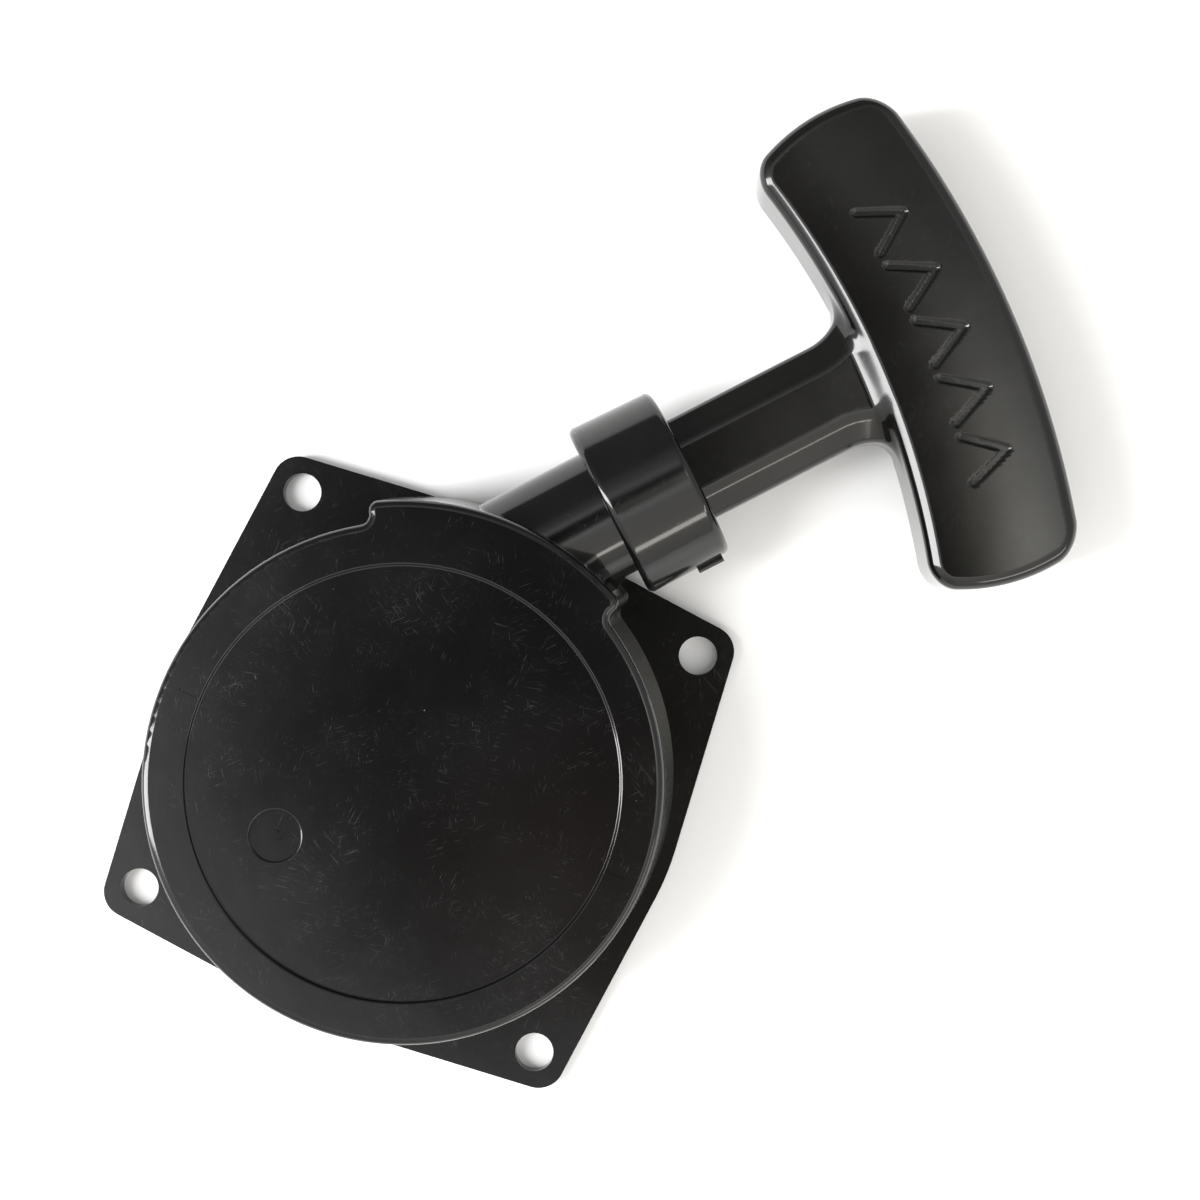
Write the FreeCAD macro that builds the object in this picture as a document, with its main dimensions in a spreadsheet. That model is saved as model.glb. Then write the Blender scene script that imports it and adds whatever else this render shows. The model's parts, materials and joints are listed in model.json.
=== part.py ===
"""Recoil starter: drum housing on a four-hole flange, rope reel with a spiral spring, ratchets and T-grip.

Row frame: origin at the centre of the bolt circle on the mounting face, +Z out of the engine towards the
drum's closed top, +X the direction in which the rope is pulled.
"""

import FreeCAD, Part
import math
import os
import Sketcher

doc = FreeCAD.newDocument("recoil_starter")
V = FreeCAD.Vector
UPRIGHT = FreeCAD.Rotation()
ALONG_X = FreeCAD.Rotation(V(0, 1, 0), 90)
CLOSE = 0.01

DIMENSIONS = {
    # how far a tool sticks out of the face it cuts, and how deep fused pieces reach into each other
    "over_cut": 1.0,
    "overlap": 0.5,
    # flange and mounting holes
    "bolt_circle": 104.65,
    "bolt_angle": -4.5,
    "mount_hole": 3.3,
    "flange_thick": 3.0,
    "flange_disc": 46.4,
    "corner_reach": 54.2,
    "corner_round": 4.5,
    # drum
    "drum_height": 31.0,
    "drum_foot": 44.3,
    "drum_top": 42.25,
    "disc_radius": 35.4,
    "disc_depth": 0.8,
    "cavity_foot": 41.6,
    "cavity_top": 39.8,
    "cavity_height": 28.0,
    "rim_round": 1.2,
    "disc_round": 0.3,
    "hump_radius": 45.8,
    "hump_from": 12.0,
    "hump_to": 70.0,
    "hump_root": 1.7,
    "hump_corner": 1.6,
    "mark_radius": 35.9,
    "mark_length": 3.2,
    "mark_width": 0.5,
    "mark_depth": 0.3,
    "mark_angle": -50.0,
    "gate_radius": 4.2,
    "gate_depth": 0.5,
    "gate_x": -22.3,
    "gate_y": 1.8,
    "pip_radius": 0.9,
    "pip_height": 0.4,
    "pip_root": 0.2,
    # rope line and outlet
    "rope_y": 24.4,
    "rope_z": 15.6,
    "rope_radius": 1.75,
    "tube_radius": 10.9,
    "tube_start": 30.0,
    "tube_end": 50.0,
    "tube_bore": 5.5,
    "collar_start": 49.6,
    "collar_end": 64.8,
    "collar_foot": 15.3,
    "collar_tip": 14.95,
    "collar_round": 1.2,
    "stub_back": 6.2,
    "stub_root": 3.0,
    "stub_length": 4.6,
    "stub_width": 1.8,
    "stub_height": 1.1,
    "stub_round": 0.5,
    "gusset_start": 34.0,
    "gusset_knee": 41.5,
    "gusset_out_start": 5.0,
    "gusset_out_knee": 3.0,
    "gusset_in_end": 1.2,
    "gusset_above": 3.5,
    "dock_radius": 11.3,
    "dock_floor": 53.4,
    "eyelet_bore": 2.5,
    "eyelet_flange": 8.5,
    "eyelet_start": 42.0,
    "eyelet_plate": 1.5,
    "mouth_flare": 2.0,
    "mouth_length": 2.0,
    "entry_flare": 2.2,
    "entry_length": 2.5,
    # centre post and fasteners
    "post_radius": 6.0,
    "post_end": 6.4,
    "post_flare": 0.8,
    "insert_radius": 3.6,
    "insert_length": 10.0,
    "screw_radius": 2.5,
    "screw_gap": 0.2,
    "screw_hole": 14.0,
    "screw_past": 2.0,
    "screw_head": 4.6,
    "screw_bottom": 0.9,
    "head_round": 0.8,
    "socket_radius": 2.3,
    "socket_depth": 1.6,
    "washer_top": 4.0,
    "washer_bottom": 3.0,
    "washer_radius": 6.4,
    "shoulder_radius": 4.4,
    # recoil spring
    "spring_ring_in": 34.2,
    "spring_ring_out": 36.0,
    "spring_inner": 9.9,
    "spring_growth": 1.15,
    "spring_thick": 0.5,
    "spring_bottom": 21.6,
    "spring_width": 6.0,
    "spring_half_turns": 20,
    "tang_from": 8.1,
    "tang_to": 36.4,
    "ring_drop": 0.2,
    "tang_slot": 4.0,
    "ring_slot": 1.4,
    "boss_slot": 1.6,
    "boss_slot_deep": 1.05,
    "boss_slot_start": 0.3,
    "tang_room": 0.4,
    # reel
    "reel_bottom": 10.2,
    "groove_bottom": 11.8,
    "groove_top": 19.4,
    "reel_top": 21.0,
    "groove_base": 16.0,
    "lower_rim": 30.0,
    "upper_rim": 36.5,
    "boss_radius": 9.2,
    "boss_top": 27.4,
    "bush_outer": 7.5,
    "running_gap": 0.05,
    "panel_outer": 28.0,
    "panel_inner": 18.5,
    "panel_depth": 0.5,
    "panel_rib": 2.0,
    "knot_pocket": 2.8,
    "knot_place": 12.2,
    "knot_room": 5.4,
    "knot_high": 3.0,
    "knot_free": 0.45,
    "knot_way_high": 3.6,
    "knot_way_long": 6.0,
    "knot_way_gap": 0.1,
    "pin_depth": 6.8,
    "seat_radius": 3.9,
    "seat_depth": 1.7,
    "rope_start": 14.0,
    # ratchets
    "pawl_place": 12.0,
    "pawl_bottom": 6.1,
    "pawl_top": 9.9,
    "pawl_boss": 3.4,
    "pin_radius": 2.0,
    "peg_radius": 1.2,
    "peg_offset": 4.0,
    "peg_angle": -110.0,
    "peg_gap": 0.2,
    "pawl_ratio": 1.5,
    "guide_travel": 24.0,
    "guide_bottom": 4.2,
    "guide_top": 5.8,
    "guide_radius": 17.0,
    "guide_gap": 0.08,
    "pawl_coil": 2.95,
    "pawl_wire": 0.25,
    "pawl_pitch": 0.55,
    "pawl_turns": 2,
    "pawl_coil_high": 0.3,
    "friction_coil": 7.4,
    "friction_wire": 0.45,
    "friction_turns": 3,
    "friction_room": 0.3,
    "friction_gap": 0.05,
    # grip
    "stem_width": 18.0,
    "stem_thick": 15.2,
    "chamfer_wide": 4.3,
    "chamfer_high": 3.2,
    "stem_start": 55.3,
    "stem_end": 104.0,
    "bar_thick": 20.0,
    "bar_outer": 162.0,
    "bar_inner": 136.8,
    "bar_apex": 123.6,
    "bar_half": 41.8,
    "bar_end_round": 31.0,
    "bar_end_back": 1.0,
    "bar_y": 24.8,
    "bar_turn": -3.5,
    "bar_edge": 2.6,
    "bar_corner": 4.0,
    "web_round": 8.0,
    "web_dip": 0.15,
    "web_inset": 0.7,
    "web_long": 4.0,
    "chevron_spacing": 3.95,
    "chevron_tip": 153.2,
    "chevron_length": 7.6,
    "chevron_stroke": 1.3,
    "chevron_lean": 31.0,
    "chevron_depth": 0.5,
    "rope_hole": 2.3,
    "pocket_radius": 6.6,
    "pocket_floor": 108.0,
    "washer_grip": 6.2,
    "washer_gap": 0.1,
    "washer_thick": 1.4,
    "washer_hole": 0.3,
    "rope_past": 1.9,
    "grip_knot": 3.7,
    "grip_knot_high": 6.1,
    "cap_sunk": 0.5,
    "cap_thick": 1.7,
    "skirt_long": 2.2,
    "skirt_wall": 1.2,
}


def make_sheet():
    sheet = doc.addObject("Spreadsheet::Sheet", "dims")
    for row, (alias, number) in enumerate(DIMENSIONS.items(), start=1):
        sheet.set("A%d" % row, alias)
        sheet.set("B%d" % row, str(number))
        sheet.setAlias("B%d" % row, alias)
    doc.recompute()
    return sheet


sheet = make_sheet()


def dim(alias):
    return float(sheet.get(alias))


def bind(obj, **expressions):
    """Bind properties to the sheet; a bare dimension name or a formula of dims.NAME values."""
    for prop, expression in expressions.items():
        obj.setExpression(prop.replace("__", "."), str(expression))
    return obj


def place(obj, x="0", y="0", z="0", rotation=UPRIGHT):
    """Stand a primitive at a place given as formulas of the sheet."""
    obj.Placement = FreeCAD.Placement(V(0, 0, 0), rotation)
    return bind(obj, Placement__Base__x=x, Placement__Base__y=y, Placement__Base__z=z)


def loose_cylinder(name, radius, height):
    """A cylinder whose Placement is left to the caller."""
    return bind(doc.addObject("Part::Cylinder", name), Radius=radius, Height=height)


def cylinder(name, radius, height, x="0", y="0", z="0", rotation=UPRIGHT):
    return place(loose_cylinder(name, radius, height), x, y, z, rotation)


def cone(name, radius1, radius2, height, x="0", y="0", z="0", rotation=UPRIGHT):
    obj = doc.addObject("Part::Cone", name)
    return place(bind(obj, Radius1=radius1, Radius2=radius2, Height=height), x, y, z, rotation)


def box(name, length, width, height, x="0", y="0", z="0", rotation=UPRIGHT):
    obj = doc.addObject("Part::Box", name)
    return place(bind(obj, Length=length, Width=width, Height=height), x, y, z, rotation)


def rope_cylinder(name, radius, start, end):
    """A cylinder on the rope line, from one X to another."""
    return cylinder(name, radius, "(%s) - (%s)" % (end, start), start, "dims.rope_y", "dims.rope_z", ALONG_X)


def fuse(name, *objects):
    obj = doc.addObject("Part::MultiFuse", name)
    obj.Shapes = list(objects)
    return obj


def cut(name, base, tool):
    obj = doc.addObject("Part::Cut", name)
    obj.Base = base
    obj.Tool = tool
    return obj


def common(name, *objects):
    obj = doc.addObject("Part::MultiCommon", name)
    obj.Shapes = list(objects)
    return obj


def round_edges(name, base, radius, wanted):
    """Fillet the edges of base that the test picks out."""
    doc.recompute()
    numbers = [i for i, edge in enumerate(base.Shape.Edges, start=1) if wanted(edge)]
    if not numbers:
        raise RuntimeError("%s: no edge to round" % name)
    obj = doc.addObject("Part::Fillet", name)
    obj.Base = base
    obj.Edges = [(number, radius, radius) for number in numbers]
    return obj


def is_circle(edge, radius, z=None, slack=0.02):
    """True for an arc about a vertical axis with the radius and, if given, the height."""
    curve = edge.Curve
    if curve.TypeId != "Part::GeomCircle" or abs(curve.Radius - radius) > slack:
        return False
    return z is None or abs(curve.Center.z - z) < slack


def origin_plane(body, role):
    return next(feature for feature in body.Origin.OriginFeatures if feature.Role == role)


def new_body(name):
    return doc.addObject("PartDesign::Body", name)


def new_sketch(body, name, role="XY_Plane"):
    sketch = body.newObject("Sketcher::SketchObject", name)
    sketch.AttachmentSupport = [(origin_plane(body, role), "")]
    sketch.MapMode = "FlatFace"
    return sketch


def pin_point(sketch, geometry, point, x, y):
    """Hold a sketch point at formulas x, y of the sheet."""
    for kind, axis, formula in (("DistanceX", -2, x), ("DistanceY", -1, y)):
        number = float(sketch.evalExpression(formula))
        if abs(number) < 1e-9:
            sketch.addConstraint(Sketcher.Constraint("PointOnObject", geometry, point, axis))
            continue
        if number > 0:
            constraint = Sketcher.Constraint(kind, -1, 1, geometry, point, number)
        else:
            constraint = Sketcher.Constraint(kind, geometry, point, -1, 1, -number)
            formula = "-(%s)" % formula
        index = sketch.addConstraint(constraint)
        sketch.setExpression("Constraints[%d]" % index, formula)


def add_circle(sketch, radius, x="0", y="0"):
    numbers = [float(sketch.evalExpression(formula)) for formula in (radius, x, y)]
    index = sketch.addGeometry(Part.Circle(V(numbers[1], numbers[2], 0), V(0, 0, 1), numbers[0]))
    if x == "0" and y == "0":
        sketch.addConstraint(Sketcher.Constraint("Coincident", index, 3, -1, 1))
    else:
        pin_point(sketch, index, 3, x, y)
    size = sketch.addConstraint(Sketcher.Constraint("Radius", index, numbers[0]))
    sketch.setExpression("Constraints[%d]" % size, radius)


def add_polygon(sketch, corners):
    """Closed outline through corners given as pairs of formulas."""
    points = [V(*(float(sketch.evalExpression(formula)) for formula in corner), 0) for corner in corners]
    first = sketch.GeometryCount
    count = len(points)
    for i in range(count):
        sketch.addGeometry(Part.LineSegment(points[i], points[(i + 1) % count]))
    for i in range(count):
        sketch.addConstraint(Sketcher.Constraint("Coincident", first + i, 2, first + (i + 1) % count, 1))
    for i, (x, y) in enumerate(corners):
        pin_point(sketch, first + i, 1, x, y)


def pad(body, name, sketch, length):
    feature = body.newObject("PartDesign::Pad", name)
    feature.Profile = sketch
    feature.setExpression("Length", length)
    sketch.Visibility = False
    return feature


def pocket_up(body, name, sketch, length):
    """Pocket towards +Z from a sketch at or below the solid, checked to remove material."""
    doc.recompute()
    before = body.Shape.Volume
    feature = body.newObject("PartDesign::Pocket", name)
    feature.Profile = sketch
    feature.setExpression("Length", length)
    feature.Reversed = True
    doc.recompute()
    if body.Shape.Volume >= before - 1e-6:
        raise RuntimeError("%s cut nothing" % name)
    return feature


def polar(body, name, feature, count):
    pattern = body.newObject("PartDesign::PolarPattern", name)
    pattern.Originals = [feature]
    pattern.Axis = (origin_plane(body, "Z_Axis"), [""])
    pattern.Angle = 360
    pattern.Occurrences = count
    body.Tip = pattern
    return pattern


def lift(sketch, height):
    """Raise a sketch off its plane by a formula of the sheet."""
    sketch.setExpression("AttachmentOffset.Base.z", height)


def make_flange():
    """Round plate with four ears, each the hull of the plate and one corner round."""
    body = new_body("flange")
    disc = new_sketch(body, "flange_disc_sketch")
    add_circle(disc, "dims.flange_disc")
    pad(body, "flange_disc_pad", disc, "dims.flange_thick")

    # tangent from the plate's circle to the corner round, seen from the ear's own axis
    tangent = "acos((dims.flange_disc - dims.corner_round) / dims.corner_reach)"
    ear = new_sketch(body, "ear_sketch")
    ear.AttachmentOffset = FreeCAD.Placement(V(0, 0, 0), FreeCAD.Rotation(V(0, 0, 1), dim("bolt_angle")))
    foot_x = "dims.flange_disc * cos(%s)" % tangent
    foot_y = "dims.flange_disc * sin(%s)" % tangent
    tip_x = "dims.corner_reach + dims.corner_round * cos(%s)" % tangent
    tip_y = "dims.corner_round * sin(%s)" % tangent
    add_polygon(ear, [("0", "0"), (foot_x, "-(%s)" % foot_y), (tip_x, "-(%s)" % tip_y), (tip_x, tip_y),
                      (foot_x, foot_y)])
    polar(body, "ears", pad(body, "ear_pad", ear, "dims.flange_thick"), 4)

    corner = new_sketch(body, "corner_sketch")
    corner.AttachmentOffset = ear.AttachmentOffset
    add_circle(corner, "dims.corner_round", "dims.corner_reach")
    polar(body, "corners", pad(body, "corner_pad", corner, "dims.flange_thick"), 4)

    hole = new_sketch(body, "mount_hole_sketch")
    hole.AttachmentOffset = ear.AttachmentOffset
    add_circle(hole, "dims.mount_hole", "dims.bolt_circle / 2")
    polar(body, "mount_holes", pocket_up(body, "mount_hole_cut", hole, "dims.flange_thick"), 4)
    return body


def make_drum():
    """Tapered drum with a thicker stretch of rim where the rope leaves, rounded into each other."""
    top = dim("drum_height")
    slope = "(dims.drum_foot - dims.drum_top)"
    plain = cone("drum_form", "dims.drum_foot", "dims.drum_top", "dims.drum_height")
    hump = cone("hump_sector", "dims.hump_radius + %s" % slope, "dims.hump_radius", "dims.drum_height")
    hump.Placement = FreeCAD.Placement(V(0, 0, 0), FreeCAD.Rotation(V(0, 0, 1), dim("hump_from")))
    bind(hump, Angle="dims.hump_to - dims.hump_from")
    joined = fuse("drum_joined", plain, hump)
    joined.Refine = True

    def step_edge(radius):
        """Picks the straight edges that run up the drum's side at a radius, measured at the top."""
        def wanted(edge):
            high = max((vertex.Point for vertex in edge.Vertexes), key=lambda point: point.z)
            upright = edge.BoundBox.ZLength > top / 2
            return upright and abs(math.hypot(high.x, high.y) - radius) < dim("hump_root") / 5
        return wanted

    def top_rim(edge):
        centre = edge.CenterOfMass
        start = edge.Vertexes[0].Point
        flat = edge.BoundBox.ZLength < CLOSE and abs(centre.z - top) < CLOSE
        return flat and math.hypot(start.x, start.y) > (dim("drum_top") + dim("disc_radius")) / 2

    roots = round_edges("hump_roots", joined, dim("hump_root"), step_edge(dim("drum_top")))
    corners = round_edges("hump_corners", roots, dim("hump_corner"), step_edge(dim("hump_radius")))
    rim = round_edges("drum_rim", corners, dim("rim_round"), top_rim)
    disc = cylinder("disc_recess", "dims.disc_radius", "dims.disc_depth + dims.over_cut",
                    z="dims.drum_height - dims.disc_depth")
    foot = top - dim("disc_depth")
    disc_tool = round_edges("disc_tool", disc, dim("disc_round"),
                            lambda edge: is_circle(edge, dim("disc_radius"), foot))
    dished = cut("dished_drum", rim, disc_tool)
    edge_round = round_edges("disc_edge", dished, dim("disc_round"),
                             lambda edge: is_circle(edge, dim("disc_radius"), top))
    gate = cylinder("gate_recess", "dims.gate_radius", "dims.drum_height", "dims.gate_x", "dims.gate_y",
                    "dims.drum_height - dims.disc_depth - dims.gate_depth")
    gated = cut("gated_drum", edge_round, gate)
    return round_edges("drum", gated, dim("disc_round"),
                       lambda edge: is_circle(edge, dim("gate_radius"), foot))


def make_marks():
    """Two witness lines across the drum's rim, half a turn apart."""
    marks = []
    for index in range(2):
        turn = FreeCAD.Rotation(V(0, 0, 1), dim("mark_angle") + 180 * index)
        mark = bind(doc.addObject("Part::Box", "witness_%d" % (index + 1)), Length="dims.mark_length",
                    Width="dims.mark_width", Height="dims.over_cut")
        corner = V(dim("mark_radius"), -dim("mark_width") / 2, dim("drum_height") - dim("mark_depth"))
        mark.Placement = FreeCAD.Placement(turn.multVec(corner), turn)
        marks.append(mark)
    return marks


def make_outer_form():
    """Drum, flange, rope tube and collar before hollowing."""
    tube = rope_cylinder("tube_form", "dims.tube_radius", "dims.tube_start", "dims.tube_end")
    collar_length = "dims.collar_end - dims.collar_start"
    collar = cone("collar_form", "dims.collar_foot", "dims.collar_tip", collar_length, "dims.collar_start",
                  "dims.rope_y", "dims.rope_z", ALONG_X)
    collar_rounded = round_edges("collar", collar, dim("collar_round"),
                                 lambda edge: edge.Curve.TypeId == "Part::GeomCircle")
    gate_stub = box("collar_gate_stub", "dims.stub_length", "dims.stub_root", "dims.stub_width",
                    "dims.collar_end - dims.stub_back", "dims.rope_y - dims.collar_tip - dims.stub_height",
                    "dims.rope_z - dims.stub_width / 2")
    outer_y = dim("rope_y") - dim("collar_tip") - dim("stub_height")

    def outer_edge(edge):
        return edge.BoundBox.YMax < outer_y + CLOSE and edge.BoundBox.XLength > CLOSE

    stub_rounded = round_edges("collar_gate", gate_stub, dim("stub_round"), outer_edge)
    gusset = new_body("gusset")
    web = new_sketch(gusset, "gusset_sketch")
    side = "dims.rope_y - dims.tube_radius"
    add_polygon(web, [("dims.gusset_start", "dims.rope_y"),
                      ("dims.gusset_start", side + " - dims.gusset_out_start"),
                      ("dims.gusset_knee", side + " - dims.gusset_out_knee"),
                      ("dims.collar_start", side + " + dims.gusset_in_end"),
                      ("dims.collar_start", "dims.rope_y")])
    lift(web, "dims.flange_thick - dims.overlap")
    pad(gusset, "gusset_pad", web, "dims.rope_z - dims.flange_thick + dims.gusset_above")
    return fuse("outer_form", make_flange(), make_drum(), tube, collar_rounded, stub_rounded, gusset)


def make_cavity():
    """Everything that is hollow in the housing, below the drum's top."""
    cavity = cone("cavity", "dims.cavity_foot", "dims.cavity_top", "dims.cavity_height")
    bore = rope_cylinder("rope_bore", "dims.tube_bore", "dims.tube_start", "dims.collar_end")
    dock = rope_cylinder("dock", "dims.dock_radius", "dims.dock_floor", "dims.collar_end + dims.over_cut")
    return fuse("hollows", cavity, bore, dock, *make_marks())


def make_housing():
    """One moulding: flange, drum, rope outlet with its docking collar, centre post and spring ring."""
    shell = cut("shell", make_outer_form(), make_cavity())
    post_length = "dims.cavity_height - dims.post_end + dims.overlap"
    post = cylinder("post_form", "dims.post_radius", post_length, z="dims.post_end")
    root = cone("post_root", "dims.post_radius", "dims.post_radius + dims.post_flare", "dims.post_flare",
                z="dims.cavity_height - dims.overlap")
    gate_pip = cylinder("gate_pip", "dims.pip_radius", "dims.pip_height + dims.pip_root", "dims.gate_x",
                        "dims.gate_y", "dims.drum_height - dims.disc_depth - dims.gate_depth - dims.pip_root")
    ring_height = "dims.cavity_height - dims.spring_bottom + dims.ring_drop + dims.overlap"
    ring_z = "dims.spring_bottom - dims.ring_drop"
    ring_outer = cylinder("ring_outer", "dims.spring_ring_out", ring_height, z=ring_z)
    ring_inner = cylinder("ring_inner", "dims.spring_ring_in", ring_height, z=ring_z)
    ring_slot = box("ring_slot_tool", "dims.tang_slot", "dims.ring_slot", "dims.spring_width + dims.tang_room",
                    "dims.spring_ring_in - dims.over_cut", "-dims.ring_slot / 2", ring_z)
    ring = cut("ring", ring_outer, fuse("ring_hollow", ring_inner, ring_slot))
    insert_seat = cylinder("insert_seat", "dims.insert_radius", "dims.insert_length", z="dims.post_end")
    tap_drill = cylinder("screw_clearance", "dims.screw_radius + dims.screw_gap", "dims.screw_hole",
                         z="dims.post_end")
    bored_post = cut("post", fuse("post_solid", post, root), fuse("post_bores", insert_seat, tap_drill))
    solid = fuse("housing_solid", shell, bored_post, ring, gate_pip)
    solid.Label = "housing"
    return solid


def make_eyelet():
    """Pressed guide: a tube with a flange against the dock's floor and a rounded mouth."""
    tube = rope_cylinder("eyelet_tube", "dims.tube_bore", "dims.eyelet_start", "dims.dock_floor")
    flange = rope_cylinder("eyelet_plate", "dims.eyelet_flange", "dims.dock_floor",
                           "dims.dock_floor + dims.eyelet_plate")
    bore = rope_cylinder("eyelet_hole", "dims.eyelet_bore", "dims.eyelet_start - dims.over_cut",
                         "dims.dock_floor + dims.eyelet_plate + dims.over_cut")
    mouth_start = "dims.dock_floor + dims.eyelet_plate - dims.mouth_length"
    mouth = cone("eyelet_mouth", "dims.eyelet_bore", "dims.eyelet_bore + dims.mouth_flare",
                 "dims.mouth_length", mouth_start, "dims.rope_y", "dims.rope_z", ALONG_X)
    entry = cone("eyelet_entry", "dims.eyelet_bore + dims.entry_flare", "dims.eyelet_bore",
                 "dims.entry_length", "dims.eyelet_start", "dims.rope_y", "dims.rope_z", ALONG_X)
    return cut("rope_eyelet", fuse("eyelet_solid", tube, flange), fuse("eyelet_hollow", bore, mouth, entry))


def make_insert():
    outer = cylinder("insert_outer", "dims.insert_radius", "dims.insert_length", z="dims.post_end")
    inner = cylinder("insert_inner", "dims.screw_radius", "dims.insert_length", z="dims.post_end")
    return cut("centre_insert", outer, inner)


def spiral_face(inner, growth, thickness, half_turns):
    """Flat spiral strip of half circles about two centres, each half turn one growth wider."""

    def half(index, radius):
        centre = V(0, 0, 0) if index % 2 == 0 else V(growth, 0, 0)
        upward = 1 if index % 2 == 0 else -1
        start = centre + V(radius * upward, 0, 0)
        crown = centre + V(0, radius * upward, 0)
        end = centre - V(radius * upward, 0, 0)
        return Part.Arc(start, crown, end).toShape()

    edges = []
    for offset in (-thickness / 2, thickness / 2):
        edges += [half(i, inner + i * growth + offset) for i in range(half_turns)]
    start_x = inner - thickness / 2
    end_x = inner + half_turns * growth - thickness / 2
    edges.append(Part.LineSegment(V(start_x, 0, 0), V(start_x + thickness, 0, 0)).toShape())
    edges.append(Part.LineSegment(V(end_x, 0, 0), V(end_x + thickness, 0, 0)).toShape())
    return Part.Face(Part.Wire(Part.__sortEdges__(edges)))


def make_recoil_spring():
    """Spiral strip with a tang bent into the reel's boss and one bent through the spring ring."""
    spring = doc.addObject("Part::Feature", "recoil_spring")
    inner = dim("spring_inner")
    growth = dim("spring_growth")
    thickness = dim("spring_thick")
    width = dim("spring_width")
    half_turns = int(dim("spring_half_turns"))
    strip = spiral_face(inner, growth, thickness, half_turns).extrude(V(0, 0, width))
    outer = inner + half_turns * growth
    half = thickness / 2
    start = dim("tang_from")
    inner_tang = Part.makeBox(inner - start + half, thickness, width, V(start, -thickness, 0))
    outer_tang = Part.makeBox(dim("tang_to") - outer + half, thickness, width, V(outer - half, 0, 0))
    spring.Shape = strip.fuse([inner_tang, outer_tang]).removeSplitter()
    spring.Placement = FreeCAD.Placement(V(0, 0, dim("spring_bottom")), UPRIGHT)
    return spring


def make_reel_panels():
    """Six shallow panels in the reel's underside, with ribs between them."""
    low = "dims.reel_bottom - dims.over_cut"
    depth = "dims.panel_depth + dims.over_cut"
    overhang = dim("panel_outer") + dim("over_cut")
    outer = cylinder("panel_outer_form", "dims.panel_outer", depth, z=low)
    inner = cylinder("panel_inner_form", "dims.panel_inner", depth, z=low)
    ribs = []
    for index in range(3):
        turn = FreeCAD.Rotation(V(0, 0, 1), 30 + 60 * index)
        rib = bind(doc.addObject("Part::Box", "panel_rib_%d" % (index + 1)), Length=2 * overhang,
                   Width="dims.panel_rib", Height=depth)
        corner = V(-overhang, -dim("panel_rib") / 2, dim("reel_bottom") - dim("over_cut"))
        rib.Placement = FreeCAD.Placement(turn.multVec(corner), turn)
        ribs.append(rib)
    return cut("panels", outer, fuse("panel_lands", inner, *ribs))


def make_reel():
    """Sheave with a boss for the spring, a bore for the bush, pin holes and a knot pocket."""
    lower = cylinder("reel_lower", "dims.lower_rim", "dims.groove_bottom - dims.reel_bottom",
                     z="dims.reel_bottom")
    core = cylinder("reel_core", "dims.groove_base", "dims.groove_top - dims.groove_bottom",
                    z="dims.groove_bottom")
    upper = cylinder("reel_upper", "dims.upper_rim", "dims.reel_top - dims.groove_top", z="dims.groove_top")
    boss = cylinder("reel_boss", "dims.boss_radius", "dims.boss_top - dims.reel_top", z="dims.reel_top")
    bore = cylinder("reel_bore", "dims.bush_outer", "dims.boss_top + dims.over_cut")
    slot = box("boss_slot_tool", "dims.tang_slot", "dims.boss_slot", "dims.boss_top - dims.reel_top",
               "dims.bush_outer + dims.boss_slot_start", "-dims.boss_slot_deep",
               "dims.spring_bottom - dims.boss_slot_start")
    tools = [bore, slot]
    low = "dims.reel_bottom - dims.over_cut"
    pin_depth = "dims.pin_depth + dims.over_cut"
    seat_depth = "dims.seat_depth + dims.over_cut"
    for side in (1, -1):
        x = "%d * dims.pawl_place" % side
        tag = "a" if side == 1 else "b"
        tools.append(cylinder("pin_hole_" + tag, "dims.pin_radius", pin_depth, x, z=low))
        tools.append(cylinder("spring_seat_" + tag, "dims.seat_radius", seat_depth, x, z=low))
    tools.append(cylinder("knot_hole", "dims.knot_pocket", "dims.knot_room + dims.over_cut", "0",
                          "-dims.knot_place", low))
    tools.append(cylinder("knot_way", "dims.rope_radius + dims.knot_way_gap", "dims.knot_way_long", "0",
                          "-dims.knot_place", "dims.reel_bottom + dims.knot_way_high",
                          FreeCAD.Rotation(V(1, 0, 0), 90)))
    tools.append(make_reel_panels())
    return cut("reel", fuse("reel_solid", lower, core, upper, boss), fuse("reel_hollow", *tools))


def make_bush():
    height = "dims.boss_top - dims.reel_bottom"
    outer = cylinder("bush_body", "dims.bush_outer", height, z="dims.reel_bottom")
    inner = cylinder("bush_hole", "dims.post_radius + dims.running_gap", height, z="dims.reel_bottom")
    return cut("reel_bush", outer, inner)


def make_rope_coil():
    """Outer shape of the three layers of rope on the reel."""
    width = "4 * dims.rope_radius"
    low = "dims.rope_z - 2 * dims.rope_radius"
    outer = cylinder("coil_outer", "dims.rope_y + dims.rope_radius", width, z=low)
    inner = cylinder("coil_inner", "dims.groove_base", width, z=low)
    return cut("rope_coil", outer, inner)


def make_rope_run():
    """Straight rope from the reel's edge through the eyelet and the grip to its knot."""
    return rope_cylinder("rope_run", "dims.rope_radius", "dims.rope_start",
                         "dims.pocket_floor + dims.rope_past")


def knot(name, radius):
    """Overhand knot as a ring of rope drawn tight about a ball."""
    ball_share = 0.8
    cord_share = 0.42
    lean = 35
    ball = doc.addObject("Part::Sphere", name + "_ball")
    bind(ball, Radius="(%s) * %s" % (radius, ball_share))
    ring = doc.addObject("Part::Torus", name + "_ring")
    bind(ring, Radius1="(%s) * %s" % (radius, 1 - cord_share), Radius2="(%s) * %s" % (radius, cord_share))
    ring.Placement = FreeCAD.Placement(V(0, 0, 0), FreeCAD.Rotation(V(0, 1, 0), lean))
    return fuse(name, ball, ring)


def make_reel_knot():
    return place(knot("reel_knot", "dims.knot_pocket - dims.knot_free"), "0", "-dims.knot_place",
                 "dims.reel_bottom + dims.knot_high")


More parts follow.
